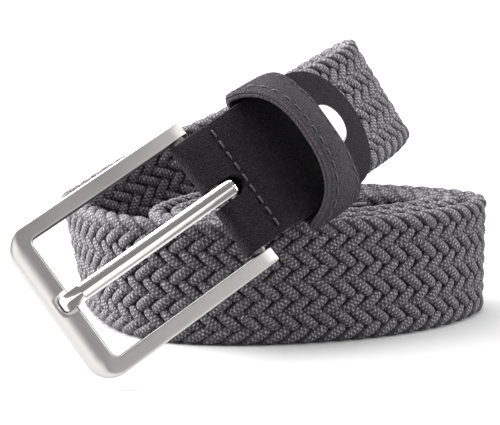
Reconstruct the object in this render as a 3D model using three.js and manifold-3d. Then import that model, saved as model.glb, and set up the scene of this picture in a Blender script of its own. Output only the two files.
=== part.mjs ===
// A woven belt, rolled up and standing on its long edge, with its buckle end leaning over the
// roll. The elastic braid is one band. Its start is sewn into a folded leather end, which holds
// the bar of a pin buckle. Units are millimetres, Z is up, and the floor is at zero.
import * as THREE from 'three';
import { mergeVertices } from 'three/addons/utils/BufferGeometryUtils.js';
import Module from 'manifold-3d';

const wasm = await Module();
wasm.setup();

// Driving dimensions.
const GAP = 0.3;
const BAND = { width: 35, thickness: 4.6, edge: 1.5, start: 9, step: 4.8 };
const LEATHER = { width: 36, widthAtBar: 34.2, thickness: 1.8, chamfer: 0.45, tabLength: 52.8, backLength: 46 };
const SLOT = { width: 5.6, reach: 6.1 };
const KEEPER = { width: 14.4, thickness: 2.4, chamfer: 0.6, halfSpan: 20.2, height: 17.3, lean: 30 };
KEEPER.squareness = { near: 2.5, far: 3.2 };
KEEPER.backSpan = 19.6;
KEEPER.backCorner = 1.6;
// The keeper's leading edge comes nearest to the buckle at its feet, low on the belt's sides.
KEEPER.foot = { station: 14.8, height: 4, run: 0.475, skew: 0.025, round: 2 };
const FRAME = { length: 56.8, width: 44.8, arm: 4.4, frontBar: 6.6, depth: 3.2, bevel: 0.95 };
FRAME.outerRadius = 6.5;
FRAME.innerRadius = 1.6;
const BAR = { radius: 1.6, fromEnd: 2.6 };
const PRONG = { width: 4.2, tipWidth: 3.4, tipOverhang: 3.2, eyeWall: 1.1, ridge: 0.7, head: 4.2 };
const SEAT = { depth: 0.9, radius: 6, setback: 2.7 };
const CAP = { radius: 6.2, dome: 1, rim: 0.6, shank: 1.9, station: 37.4 };
const TIP = { length: 26, wall: 1.2 };

// The outermost stretch of the band, as control rows of a spline: the middle of the band in x, y
// and z, how far its upper edge leans to the left, and how far it tips back, in degrees.
const RING = [
  // leather end, from the buckle's bar
  { x: -18.9, y: -20.1, z: 37.1, lean: 37, tip: 11 },
  { x: -7.7, y: -14.7, z: 44.7, lean: 37, tip: 11 },
  { x: 3.0, y: -7.9, z: 50.8, lean: 37, tip: 11 },
  { x: 13.5, y: 0.8, z: 55.5, lean: 34, tip: 9 },
  { x: 21.4, y: 12.7, z: 59.6, lean: 37, tip: 6 },
  // round the raised right end
  { x: 29.5, y: 26.3, z: 62.1, lean: 35, tip: 4 },
  { x: 36.5, y: 39.2, z: 64.6, lean: 28, tip: 2 },
  { x: 38.8, y: 51.5, z: 66.4, lean: 34, tip: 1 },
  { x: 33.1, y: 61.6, z: 62.7, lean: 32, tip: 0 },
  { x: 23.8, y: 69.5, z: 56.2, lean: 25, tip: 0 },
  // down behind the roll
  { x: 10.6, y: 75.5, z: 47.7, lean: 22, tip: 0 },
  { x: -7.0, y: 79.2, z: 37.8, lean: 21, tip: 0 },
  { x: -26.0, y: 78.6, z: 30.3, lean: 20, tip: 0 },
  // round the left end, where the band comes down to the floor
  { x: -40.7, y: 72.7, z: 22.0, lean: 18, tip: 0 },
  { x: -50.2, y: 62.2, z: 16.9, lean: 15, tip: 0 },
  { x: -53.4, y: 49.4, z: 17.4, lean: 12, tip: 0 },
  { x: -48.6, y: 35.5, z: 17.8, lean: 10, tip: 0 },
  { x: -42.4, y: 20.1, z: 17.4, lean: 8, tip: 0 },
  { x: -32.3, y: 7.0, z: 17.7, lean: 5, tip: 0 },
];

// One turn of the upright roll in plan: front, right end, back, left bend.
const TURN = [
  { x: -15.3, y: 1.0 },
  { x: 6.0, y: 1.2 },
  { x: 28.3, y: 5.9 },
  { x: 48.2, y: 14.8 },
  { x: 62.5, y: 27.9 },
  { x: 70.0, y: 40.7 },
  { x: 67.0, y: 50.3 },
  { x: 55.0, y: 57.4 },
  { x: 38.0, y: 63.3 },
  { x: 18.5, y: 67.6 },
  { x: 2.0, y: 64.5 },
  { x: -9.0, y: 56.0 },
  { x: -18.0, y: 44.5 },
  { x: -24.5, y: 32.0 },
  { x: -28.0, y: 20.0 },
  { x: -22.5, y: 9.3 },
];
// Each further turn lies inside the last, moved towards a core line by one pitch.
const NEST = { pitch: 6.8, rows: 53, coreLeft: [0, 32], coreRight: [32, 36], looseRight: 1.5 };
const CENTRE = { x: 5.2, y: 19.6 };

function nestedRow(index) {
  const turn = Math.floor(index / TURN.length);
  const row = TURN[index % TURN.length];
  const core = new THREE.Line3(
    new THREE.Vector3(...NEST.coreLeft, 0),
    new THREE.Vector3(...NEST.coreRight, 0),
  );
  const point = new THREE.Vector3(row.x, row.y, 0);
  const inward = core.closestPointToPoint(point, true, new THREE.Vector3()).sub(point).normalize();
  const loose = turn > 0 ? NEST.looseRight * THREE.MathUtils.clamp((row.x - 45) / 15, 0, 1) : 0;
  point.addScaledVector(inward, NEST.pitch * turn + loose);
  return { x: point.x, y: point.y, z: BAND.width / 2, lean: 0, tip: 0 };
}

const ROWS = RING.concat(Array.from({ length: NEST.rows }, (_, index) => nestedRow(index)));

// A uniform cubic B-spline through the rows: each span blends four neighbouring rows.
function blendRows(parameter) {
  const span = Math.min(Math.floor(parameter), ROWS.length - 4);
  const t = parameter - span;
  const weights = [(1 - t) ** 3, 3 * t ** 3 - 6 * t ** 2 + 4, -3 * t ** 3 + 3 * t ** 2 + 3 * t + 1, t ** 3];
  const slopes = [-3 * (1 - t) ** 2, 9 * t ** 2 - 12 * t, -9 * t ** 2 + 6 * t + 3, 3 * t ** 2];
  const value = { x: 0, y: 0, z: 0, lean: 0, tip: 0 };
  const slope = { x: 0, y: 0, z: 0 };
  for (let k = 0; k < 4; k += 1) {
    for (const key of Object.keys(value)) value[key] += (weights[k] * ROWS[span + k][key]) / 6;
    for (const key of Object.keys(slope)) slope[key] += (slopes[k] * ROWS[span + k][key]) / 6;
  }
  return { value, slope };
}

// The band's own directions at a point: along it, across it to its upper edge, and out of its
// outer face.
function frameAtParameter(parameter) {
  const { value, slope } = blendRows(parameter);
  const along = new THREE.Vector3(slope.x, slope.y, slope.z).normalize();
  const lean = THREE.MathUtils.degToRad(value.lean);
  const tip = THREE.MathUtils.degToRad(value.tip);
  const across = new THREE.Vector3(
    -Math.sin(lean) * Math.cos(tip),
    Math.sin(tip),
    Math.cos(lean) * Math.cos(tip),
  );
  across.addScaledVector(along, -across.dot(along)).normalize();
  const outward = new THREE.Vector3().crossVectors(along, across);
  return { centre: new THREE.Vector3(value.x, value.y, value.z), along, across, outward };
}

// Lengths along the band, measured from the buckle's bar.
const SAMPLES_PER_ROW = 60;
const LENGTHS = [0];
for (let i = 1; i <= (ROWS.length - 3) * SAMPLES_PER_ROW; i += 1) {
  const here = frameAtParameter(i / SAMPLES_PER_ROW).centre;
  const before = frameAtParameter((i - 1) / SAMPLES_PER_ROW).centre;
  LENGTHS.push(LENGTHS[i - 1] + here.distanceTo(before));
}
const BELT_LENGTH = LENGTHS[LENGTHS.length - 1];

function frameAt(length) {
  let low = 0;
  let high = LENGTHS.length - 1;
  while (high - low > 1) {
    const middle = Math.floor((low + high) / 2);
    if (LENGTHS[middle] > length) high = middle;
    else low = middle;
  }
  const part = (length - LENGTHS[low]) / (LENGTHS[high] - LENGTHS[low]);
  return frameAtParameter((low + part) / SAMPLES_PER_ROW);
}

// A point given by its length along the belt, its place across it and its height above the
// band's middle surface. Before the bar the belt's line goes on straight.
function beltPoint(length, across, height) {
  const frame = frameAt(Math.max(length, 0));
  return frame.centre
    .clone()
    .addScaledVector(frame.along, Math.min(length, 0))
    .addScaledVector(frame.across, across)
    .addScaledVector(frame.outward, height);
}

// A closed body from rings of points, each joined to the next. The rings turn anticlockwise
// seen from ahead. A closed chain joins its last ring to its first.
function loft(rings, closedChain = false) {
  const count = rings[0].length;
  const positions = rings.flat().flatMap((point) => [point.x, point.y, point.z]);
  const faces = [];
  const links = closedChain ? rings.length : rings.length - 1;
  for (let i = 0; i < links; i += 1) {
    const here = i * count;
    const next = ((i + 1) % rings.length) * count;
    for (let j = 0; j < count; j += 1) {
      const k = (j + 1) % count;
      faces.push(here + j, here + k, next + k, here + j, next + k, next + j);
    }
  }
  if (!closedChain) {
    const last = (rings.length - 1) * count;
    for (let j = 1; j < count - 1; j += 1) {
      faces.push(0, j + 1, j);
      faces.push(last, last + j, last + j + 1);
    }
  }
  const geometry = new THREE.BufferGeometry();
  geometry.setAttribute('position', new THREE.Float32BufferAttribute(positions, 3));
  geometry.setIndex(faces);
  return geometry;
}

// A rectangle with cut corners, as [across, height] pairs, anticlockwise seen from ahead.
function cutRectangle(halfWidth, halfHeight, corner) {
  const cut = Math.min(corner, halfWidth * 0.6);
  return [
    [halfWidth - cut, -halfHeight],
    [halfWidth, -halfHeight + corner],
    [halfWidth, halfHeight - corner],
    [halfWidth - cut, halfHeight],
    [-halfWidth + cut, halfHeight],
    [-halfWidth, halfHeight - corner],
    [-halfWidth, -halfHeight + corner],
    [-halfWidth + cut, -halfHeight],
  ];
}

function solidOf(geometry) {
  const plain = geometry.clone();
  plain.deleteAttribute('normal');
  plain.deleteAttribute('uv');
  const merged = mergeVertices(plain, 1e-4);
  const triVerts = Uint32Array.from(merged.index.array);
  const vertProperties = Float32Array.from(merged.attributes.position.array);
  return new wasm.Manifold(new wasm.Mesh({ numProp: 3, vertProperties, triVerts }));
}

function geometryOf(solid) {
  const mesh = solid.getMesh();
  const geometry = new THREE.BufferGeometry();
  geometry.setAttribute('position', new THREE.Float32BufferAttribute(mesh.vertProperties, 3));
  geometry.setIndex(Array.from(mesh.triVerts));
  return geometry;
}

function evenSteps(from, to, step) {
  const count = Math.ceil(Math.abs(to - from) / step);
  return Array.from({ length: count + 1 }, (_, i) => from + ((to - from) * i) / count);
}

// The woven band: one flat section with rounded edges, carried along the whole belt.
function wovenStrap() {
  const half = BAND.thickness / 2;
  const bulge = BAND.edge * 0.45;
  const section = [
    [BAND.width / 2, 0],
    [BAND.width / 2 - bulge, half - bulge],
    [BAND.width / 2 - BAND.edge - bulge, half],
    [-BAND.width / 2 + BAND.edge + bulge, half],
    [-BAND.width / 2 + bulge, half - bulge],
    [-BAND.width / 2, 0],
    [-BAND.width / 2 + bulge, -half + bulge],
    [-BAND.width / 2 + BAND.edge + bulge, -half],
    [BAND.width / 2 - BAND.edge - bulge, -half],
    [BAND.width / 2 - bulge, -half + bulge],
  ];
  const stations = evenSteps(BAND.start, BELT_LENGTH - TIP.wall - GAP, BAND.step);
  return loft(stations.map((s) => section.map(([across, height]) => beltPoint(s, across, height))));
}

// The leather is one strip: a leaf over the band's outer face with a rounded tab, a fold round
// the buckle's bar, and a like leaf behind.
const LEAF_HEIGHT = BAND.thickness / 2 + GAP + LEATHER.thickness / 2;
const FOLD_RADIUS = BAR.radius + 0.35 + LEATHER.thickness / 2;

function leafHeight(station) {
  const share = THREE.MathUtils.smoothstep(station, 0, BAND.start - 1);
  return THREE.MathUtils.lerp(FOLD_RADIUS, LEAF_HEIGHT, share);
}

function leafHalfWidth(station) {
  const share = THREE.MathUtils.smoothstep(station, 4, 28);
  return THREE.MathUtils.lerp(LEATHER.widthAtBar, LEATHER.width, share) / 2;
}

function leafStations(length) {
  const round = LEATHER.width / 2;
  const tab = evenSteps(8, 90, 8).map((degrees) => {
    const angle = THREE.MathUtils.degToRad(degrees);
    return { s: length - round + round * Math.cos(angle), half: round * Math.sin(angle) };
  });
  const straight = evenSteps(length - round, 0, 4).slice(1);
  return tab.concat(straight.map((s) => ({ s, half: leafHalfWidth(s) })));
}

function leatherEnd() {
  const front = leafStations(LEATHER.tabLength).map(({ s, half }) => ({
    s,
    half,
    height: leafHeight(s),
    turn: 90,
  }));
  const back = leafStations(LEATHER.backLength)
    .reverse()
    .map(({ s, half }) => ({ s, half, height: -leafHeight(s), turn: -90 }));
  const fold = evenSteps(72, -72, 18).map((turn) => {
    const angle = THREE.MathUtils.degToRad(turn);
    return {
      s: -FOLD_RADIUS * Math.cos(angle),
      height: FOLD_RADIUS * Math.sin(angle),
      half: LEATHER.widthAtBar / 2,
      turn,
    };
  });
  const rings = [...front, ...fold, ...back].map(({ s, half, height, turn }) => {
    const angle = THREE.MathUtils.degToRad(turn);
    return cutRectangle(half, LEATHER.thickness / 2, LEATHER.chamfer).map(([across, outward]) =>
      beltPoint(s - outward * Math.cos(angle), across, height + outward * Math.sin(angle)),
    );
  });
  const strip = solidOf(loft(rings.map((ring) => ring.reverse())));
  return geometryOf(strip.subtract(slotCutter()).subtract(shankCutter()));
}

// The slot for the prong goes through both leaves and the fold between them.
function slotCutter() {
  const half = SLOT.width / 2;
  const outline = [];
  for (const degrees of evenSteps(-90, 90, 22.5)) {
    const angle = THREE.MathUtils.degToRad(degrees);
    outline.push([SLOT.reach - half + half * Math.cos(angle), half * Math.sin(angle)]);
  }
  outline.push([-9, half], [-9, -half]);
  const reach = 9;
  const rings = [-reach, reach].map((height) => outline.map(([s, across]) => beltPoint(s, across, height)));
  return solidOf(loft(rings));
}

function capFrame() {
  const { centre, along, across, outward } = frameAt(CAP.station);
  const seat = centre.clone().addScaledVector(outward, leafHeight(CAP.station) + LEATHER.thickness / 2);
  return new THREE.Matrix4().makeBasis(along, outward, across.clone().negate()).setPosition(seat);
}

function shankCutter() {
  const hole = new THREE.CylinderGeometry(CAP.shank + GAP, CAP.shank + GAP, 4 * LEATHER.thickness, 16);
  hole.applyMatrix4(capFrame());
  return solidOf(hole).intersect(solidOf(shankHalf()));
}

// Keeps the shank's hole to the front leaf.
function shankHalf() {
  const block = new THREE.BoxGeometry(3 * CAP.shank, 2 * LEATHER.thickness + GAP, 3 * CAP.shank);
  block.translate(0, -LEATHER.thickness / 2, 0);
  return block.applyMatrix4(capFrame());
}

// The bright round cap on the tab: a low dome on a rim, with a shank through the leather.
function snapCap() {
  const profile = [new THREE.Vector2(0, -LEATHER.thickness), new THREE.Vector2(CAP.shank, -LEATHER.thickness)];
  profile.push(new THREE.Vector2(CAP.shank, GAP), new THREE.Vector2(CAP.radius - 0.3, GAP));
  profile.push(new THREE.Vector2(CAP.radius, GAP + CAP.rim / 2));
  for (const degrees of evenSteps(18, 90, 18)) {
    const angle = THREE.MathUtils.degToRad(degrees);
    const rise = GAP + CAP.rim + CAP.dome * Math.sin(angle);
    profile.push(new THREE.Vector2(degrees === 90 ? 0 : CAP.radius * Math.cos(angle), rise));
  }
  return new THREE.LatheGeometry(profile, 32).applyMatrix4(capFrame());
}

// The keeper's outline round the belt, as places across the belt and heights above its middle:
// a high arch in front, short sides and a flat back with small corners.
function keeperOutline(squareness) {
  const behind = LEAF_HEIGHT + LEATHER.thickness / 2 + GAP + KEEPER.thickness / 2;
  const back = -behind / Math.cos(THREE.MathUtils.degToRad(KEEPER.lean));
  const power = 2 / squareness;
  const arch = evenSteps(0, 180, 5).map((degrees) => {
    const c = Math.cos(THREE.MathUtils.degToRad(degrees));
    const s = Math.sin(THREE.MathUtils.degToRad(degrees));
    const across = KEEPER.halfSpan * Math.sign(c) * Math.abs(c) ** power;
    return { across, height: KEEPER.height * Math.abs(s) ** power };
  });
  const r = KEEPER.backCorner;
  const corner = evenSteps(0, 90, 30).map((degrees) => {
    const angle = THREE.MathUtils.degToRad(degrees);
    const across = -(KEEPER.backSpan - r + r * Math.cos(angle));
    return { across, height: back + r - r * Math.sin(angle) };
  });
  const inside = evenSteps(-KEEPER.backSpan + r, KEEPER.backSpan - r, 6).slice(1, -1);
  const rear = inside.map((across) => ({ across, height: back }));
  const mirrored = corner.map((point) => ({ ...point, across: -point.across })).reverse();
  return [...arch, ...corner, ...rear, ...mirrored];
}

// A point of the keeper: how far forward from its leading edge, its place across the belt and
// its rise along the leaning hoop. The hoop leans towards the tab. The top of its arch slopes
// down to the tab, and its sides and its back lie level with the belt.
function keeperPoint(forward, across, rise) {
  const { foot } = KEEPER;
  const lean = THREE.MathUtils.degToRad(KEEPER.lean);
  const slope = Math.sin(lean) * THREE.MathUtils.clamp(rise / KEEPER.height, 0, 1) ** 1.1;
  const above = rise - foot.height;
  const lead = foot.station + foot.run * Math.hypot(above, foot.round) + foot.skew * above;
  const station = lead + forward * Math.sqrt(1 - slope ** 2);
  return beltPoint(station, across, rise * Math.cos(lean) - forward * slope);
}

// The keeper is a leather hoop. Its arch is rounder at its leading edge than at its far edge.
function keeperLoop() {
  const { near, far } = KEEPER.squareness;
  const section = cutRectangle(KEEPER.width / 2, KEEPER.thickness / 2, KEEPER.chamfer);
  const columns = section.map(([offset, outer]) => {
    const forward = offset + KEEPER.width / 2;
    const outline = keeperOutline(THREE.MathUtils.lerp(near, far, forward / KEEPER.width));
    const count = outline.length;
    return outline.map((point, i) => {
      const before = outline[(i + count - 1) % count];
      const after = outline[(i + 1) % count];
      const run = new THREE.Vector2(after.across - before.across, after.height - before.height).normalize();
      return keeperPoint(forward, point.across + run.y * outer, point.height - run.x * outer);
    });
  });
  const rings = columns[0].map((_, i) => columns.map((column) => column[i]));
  return loft(rings, true);
}

// The buckle's own directions: from its front bar towards its arm ends, and across it.
const BUCKLE_AXES = (() => {
  const { across } = frameAt(0);
  const arm = new THREE.Vector3(0.767, 0.426, 0.48);
  arm.addScaledVector(across, -arm.dot(across)).normalize();
  const outward = new THREE.Vector3().crossVectors(arm, across);
  return { arm, across, outward };
})();
const BAR_CENTRE = frameAt(0).centre;

// In the buckle's frame X runs along the arms from the bar, Y across and Z out of the front.
function buckleMatrix() {
  const { arm, across, outward } = BUCKLE_AXES;
  return new THREE.Matrix4().makeBasis(arm, across, outward).setPosition(BAR_CENTRE);
}

function roundedFrameShape() {
  const end = BAR.fromEnd;
  const front = end - FRAME.length;
  const half = FRAME.width / 2;
  const inner = half - FRAME.arm;
  const innerFront = front + FRAME.frontBar;
  const r = FRAME.outerRadius;
  const q = FRAME.innerRadius;
  const shape = new THREE.Shape();
  shape.moveTo(end, half);
  shape.lineTo(front + r, half);
  shape.absarc(front + r, half - r, r, Math.PI / 2, Math.PI, false);
  shape.lineTo(front, -half + r);
  shape.absarc(front + r, -half + r, r, Math.PI, 1.5 * Math.PI, false);
  shape.lineTo(end, -half);
  shape.lineTo(end, -inner);
  shape.lineTo(innerFront + q, -inner);
  shape.absarc(innerFront + q, -inner + q, q, 1.5 * Math.PI, Math.PI, true);
  shape.lineTo(innerFront, inner - q);
  shape.absarc(innerFront + q, inner - q, q, Math.PI, Math.PI / 2, true);
  shape.lineTo(end, inner);
  return shape;
}

function barBetween(radius, length, sides) {
  return new THREE.CylinderGeometry(radius, radius, length, sides);
}

// The frame is one casting: front bar, two arms and the round bar that the leather folds round,
// with a shallow seat for the prong in the inner half of the front bar.
function buckleFrame() {
  const body = new THREE.ExtrudeGeometry(roundedFrameShape(), {
    depth: FRAME.depth - 2 * FRAME.bevel,
    bevelEnabled: true,
    bevelThickness: FRAME.bevel,
    bevelSize: FRAME.bevel,
    bevelOffset: -FRAME.bevel,
    bevelSegments: 2,
    curveSegments: 8,
  });
  body.translate(0, 0, FRAME.bevel - FRAME.depth / 2);
  const bar = barBetween(BAR.radius, FRAME.width - FRAME.arm, 16);
  const seat = barBetween(SEAT.radius, FRAME.frontBar, 32);
  seat.rotateZ(Math.PI / 2);
  const seatMiddle = BAR.fromEnd - FRAME.length + SEAT.setback + FRAME.frontBar / 2;
  seat.translate(seatMiddle, 0, FRAME.depth / 2 + SEAT.radius - SEAT.depth);
  const solid = solidOf(body).add(solidOf(bar)).subtract(solidOf(seat));
  return geometryOf(solid).applyMatrix4(buckleMatrix());
}

// The prong: a low roof with a ridge, from a square head over its eye round the bar to a blunt
// bevelled tip on the frame.
function buckleProng() {
  const tip = BAR.fromEnd - FRAME.length + PRONG.tipOverhang;
  const rest = FRAME.depth / 2 - SEAT.depth + 2 * GAP;
  const eye = BAR.radius + GAP + PRONG.eyeWall;
  const broad = PRONG.width / 2;
  const narrow = PRONG.tipWidth / 2;
  const rows = [
    { x: tip, bottom: rest + 0.2, side: rest + 0.5, half: narrow - 0.5 },
    { x: tip + 1.7, bottom: rest, side: rest + 1.4, half: narrow },
    { x: tip + 16, bottom: rest, side: rest + 1.5, half: broad },
    { x: -4, bottom: rest, side: eye, half: broad },
    { x: PRONG.head, bottom: rest, side: eye, half: broad },
  ];
  const rings = rows.map(({ x, bottom, side, half }) => {
    const corners = [[half, bottom], [half, side], [0, side + PRONG.ridge], [-half, side], [-half, bottom]];
    return corners.map(([y, z]) => new THREE.Vector3(x, y, z));
  });
  const ring = barBetween(eye, PRONG.width, 20);
  const bore = barBetween(BAR.radius + GAP, PRONG.width + 2, 20);
  const solid = solidOf(loft(rings)).add(solidOf(ring)).subtract(solidOf(bore));
  return geometryOf(solid).applyMatrix4(buckleMatrix());
}

// The free end is finished by a plain strip of leather, folded over the cut braid.
function tipFold() {
  const block = (from, to, width, thickness) => {
    const section = cutRectangle(width / 2, thickness / 2, TIP.wall / 2);
    const ring = (s) => section.map(([across, height]) => beltPoint(s, across, height));
    return solidOf(loft(evenSteps(from, to, 4).map(ring)));
  };
  const mouth = BELT_LENGTH - TIP.length;
  const pocketThickness = BAND.thickness + 2 * GAP;
  const outer = block(mouth, BELT_LENGTH, BAND.width - GAP, pocketThickness + 2 * TIP.wall);
  const pocket = block(mouth - 1, BELT_LENGTH - TIP.wall, BAND.width + 2, pocketThickness);
  return geometryOf(outer.subtract(pocket));
}

const FINISHES = {
  braid: { color: 0x5b595d, roughness: 0.85, metalness: 0 },
  leather: { color: 0x2a282b, roughness: 0.6, metalness: 0 },
  satinNickel: { color: 0xc4c1bd, roughness: 0.3, metalness: 1 },
  polishedNickel: { color: 0xd9d7d4, roughness: 0.1, metalness: 1 },
};

const PIECES = [
  { name: 'woven_strap', geometry: wovenStrap(), finish: 'braid' },
  { name: 'leather_end', geometry: leatherEnd(), finish: 'leather' },
  { name: 'keeper_loop', geometry: keeperLoop(), finish: 'leather' },
  { name: 'snap_cap', geometry: snapCap(), finish: 'polishedNickel' },
  { name: 'tip_fold', geometry: tipFold(), finish: 'leather' },
  { name: 'buckle_frame', geometry: buckleFrame(), finish: 'satinNickel' },
  { name: 'buckle_prong', geometry: buckleProng(), finish: 'polishedNickel' },
];

const belt = new THREE.Group();
for (const { name, geometry, finish } of PIECES) {
  const mesh = new THREE.Mesh(geometry, new THREE.MeshStandardMaterial(FINISHES[finish]));
  mesh.name = name;
  belt.add(mesh);
}
belt.position.set(-CENTRE.x, -CENTRE.y, 0);

export default belt;
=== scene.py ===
# %% [markdown]
# # A woven belt, rolled up on its edge
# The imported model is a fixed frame: it knows where the band, the leather end, the keeper and the
# buckle are, and which of them turn. Here each one gets the surface that the real one has. The
# plain band becomes seventeen cords that really cross over and under each other, the leather gets
# its rounded edges and stitches, and the metal gets its finish.

# %% Load the frame
import math

import bpy
import numpy as np
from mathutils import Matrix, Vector


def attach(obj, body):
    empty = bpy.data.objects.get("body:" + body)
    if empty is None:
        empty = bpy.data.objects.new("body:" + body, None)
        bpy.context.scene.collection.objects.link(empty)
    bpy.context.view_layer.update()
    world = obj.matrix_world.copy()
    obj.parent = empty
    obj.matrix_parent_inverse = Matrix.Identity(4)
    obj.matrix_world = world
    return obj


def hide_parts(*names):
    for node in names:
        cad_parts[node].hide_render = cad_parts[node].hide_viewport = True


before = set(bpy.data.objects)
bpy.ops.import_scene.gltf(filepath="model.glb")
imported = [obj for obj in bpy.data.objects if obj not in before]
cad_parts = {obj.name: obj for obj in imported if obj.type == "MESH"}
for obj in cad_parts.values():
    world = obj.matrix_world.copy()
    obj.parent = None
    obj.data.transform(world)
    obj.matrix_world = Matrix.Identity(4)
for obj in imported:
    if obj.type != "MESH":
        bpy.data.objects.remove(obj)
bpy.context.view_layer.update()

MM = 0.001

# %% [markdown]
# ## The view
# A product photograph is usually taken with a long lens from a little above. The camera stands
# 41 cm in front of the belt's middle and 11 cm up, and looks down by about eleven degrees. Its
# focal length is nearly three times the sensor's width. It comes first, so that everything else
# can be judged in it.

# %% Camera
LOOKS_DOWN = 10.6
view = bpy.data.cameras.new("photo_view")
view.sensor_width = 36.0
view.lens = 105.4
camera = bpy.data.objects.new("photo_view", view)
camera.location = (-0.0052, -0.4092, 0.1103)
camera.rotation_euler = (math.radians(90 - LOOKS_DOWN), 0, 0)
bpy.context.scene.collection.objects.link(camera)
bpy.context.scene.camera = camera
print("camera", tuple(round(v, 3) for v in camera.location), "lens", view.lens)

# %% [markdown]
# ## The belt's line
# Every soft piece follows one line, the middle of the band. It is a smooth spline pulled along by
# a short table of control rows. The first rows are the leather end and the outermost turn, which
# is raised on the right and leans. The others are one turn of the upright roll, repeated further
# and further inwards. A row also says how far the band leans sideways and tips back there, so a
# place on the belt can be given as a length along it, a distance across it and a height above it.
# The tables are in millimetres, as in the part's source.

# %% Control rows
GAP = 0.3
BAND = {"width": 35.0, "thickness": 4.6, "start": 9.0}
CENTRE = np.array([5.2, 19.6, 0.0])
# x, y, z, lean, tip
RING = np.array([
    [-18.9, -20.1, 37.1, 37, 11],
    [-7.7, -14.7, 44.7, 37, 11],
    [3.0, -7.9, 50.8, 37, 11],
    [13.5, 0.8, 55.5, 34, 9],
    [21.4, 12.7, 59.6, 37, 6],
    [29.5, 26.3, 62.1, 35, 4],
    [36.5, 39.2, 64.6, 28, 2],
    [38.8, 51.5, 66.4, 34, 1],
    [33.1, 61.6, 62.7, 32, 0],
    [23.8, 69.5, 56.2, 25, 0],
    [10.6, 75.5, 47.7, 22, 0],
    [-7.0, 79.2, 37.8, 21, 0],
    [-26.0, 78.6, 30.3, 20, 0],
    [-40.7, 72.7, 22.0, 18, 0],
    [-50.2, 62.2, 16.9, 15, 0],
    [-53.4, 49.4, 17.4, 12, 0],
    [-48.6, 35.5, 17.8, 10, 0],
    [-42.4, 20.1, 17.4, 8, 0],
    [-32.3, 7.0, 17.7, 5, 0],
])
# x, y of one turn in plan: front, right end, back, left bend
TURN = np.array([
    [-15.3, 1.0], [6.0, 1.2], [28.3, 5.9], [48.2, 14.8], [62.5, 27.9], [70.0, 40.7],
    [67.0, 50.3], [55.0, 57.4], [38.0, 63.3], [18.5, 67.6], [2.0, 64.5], [-9.0, 56.0],
    [-18.0, 44.5], [-24.5, 32.0], [-28.0, 20.0], [-22.5, 9.3],
])
NEST = {"pitch": 6.8, "rows": 53, "loose_right": 1.5, "loose_from": 45, "loose_over": 15,
        "core_left": np.array([0.0, 32.0]), "core_right": np.array([32.0, 36.0])}
STEPS_PER_ROW = 60


def nested_rows():
    """Row i repeats row i mod 16 of the turn, moved straight towards the core line by one pitch
    for each full turn before it, and a little more at the right end."""
    index = np.arange(NEST["rows"])
    turn, row = index // len(TURN), TURN[index % len(TURN)]
    core = NEST["core_right"] - NEST["core_left"]
    share = np.clip((row - NEST["core_left"]) @ core / (core @ core), 0, 1)
    inward = NEST["core_left"] + share[:, None] * core - row
    inward /= np.linalg.norm(inward, axis=1, keepdims=True)
    at_right = np.clip((row[:, 0] - NEST["loose_from"]) / NEST["loose_over"], 0, 1)
    loose = NEST["loose_right"] * at_right * (turn > 0)
    place = row + inward * (NEST["pitch"] * turn + loose)[:, None]
    rest = np.tile([BAND["width"] / 2, 0.0, 0.0], (len(index), 1))
    return np.hstack([place, rest])


ROWS = np.vstack([RING, nested_rows()])
print(len(ROWS), "control rows")


# %% Lengths and directions along the line
def unit(vectors):
    """Each vector divided by its own length."""
    return vectors / np.linalg.norm(vectors, axis=-1, keepdims=True)


def spline(parameter):
    """A uniform cubic B-spline: each span mixes four rows with weights (1-t)^3, 3t^3-6t^2+4,
    -3t^3+3t^2+3t+1 and t^3, all over six. Returns the mixed rows and the slope of x, y and z."""
    span = np.clip(np.floor(parameter).astype(int), 0, len(ROWS) - 4)
    t = parameter - span
    weights = [(1 - t) ** 3, 3 * t**3 - 6 * t**2 + 4, -3 * t**3 + 3 * t**2 + 3 * t + 1, t**3]
    slopes = [-3 * (1 - t) ** 2, 9 * t**2 - 12 * t, -9 * t**2 + 6 * t + 3, 3 * t**2]
    near = ROWS[span[..., None] + np.arange(4)]
    value = np.einsum("...k,...kc->...c", np.stack(weights, -1), near) / 6
    slope = np.einsum("...k,...kc->...c", np.stack(slopes, -1), near[..., :3]) / 6
    return value, slope


def travelled_along(line):
    """For each point of a line, the sum of the straight steps that lead to it."""
    return np.concatenate([[0], np.cumsum(np.linalg.norm(np.diff(line, axis=0), axis=1))])


STEPS = np.linspace(0, len(ROWS) - 3, (len(ROWS) - 3) * STEPS_PER_ROW + 1)
LENGTHS = travelled_along(spline(STEPS)[0][:, :3])
BELT_LENGTH = LENGTHS[-1]


def directions(length):
    """Centre, along, across and outward at a length from the bar. Across starts as the direction
    given by lean and tip and loses its part along the belt; outward is along times across."""
    value, slope = spline(np.interp(length, LENGTHS, STEPS))
    along = unit(slope)
    lean, tip = np.radians(value[..., 3]), np.radians(value[..., 4])
    across = np.stack([-np.sin(lean) * np.cos(tip), np.sin(tip), np.cos(lean) * np.cos(tip)], -1)
    across = unit(across - along * np.sum(across * along, -1, keepdims=True))
    return value[..., :3] - CENTRE, along, across, np.cross(along, across)


def on_belt(length, across, height):
    """Centre + across * its direction + height * outward; before the bar the line goes straight."""
    length, across, height = np.broadcast_arrays(length, across, height)
    centre, along, sideways, outward = directions(np.maximum(length, 0))
    early = np.minimum(length, 0)[..., None]
    return centre + along * early + sideways * across[..., None] + outward * height[..., None]


print("belt length from the bar:", round(BELT_LENGTH), "mm")

# %% [markdown]
# ## From arrays to meshes
# Every new piece is a grid of points: rows along a path and columns round a section. One helper
# turns such a grid, or a whole stack of small ones, into a mesh with its own texture coordinates,
# closes its ends, and turns its faces outwards by the sign of the volume that they enclose.


# %% Grid to mesh
SHARP_ABOVE = math.radians(48)


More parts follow.
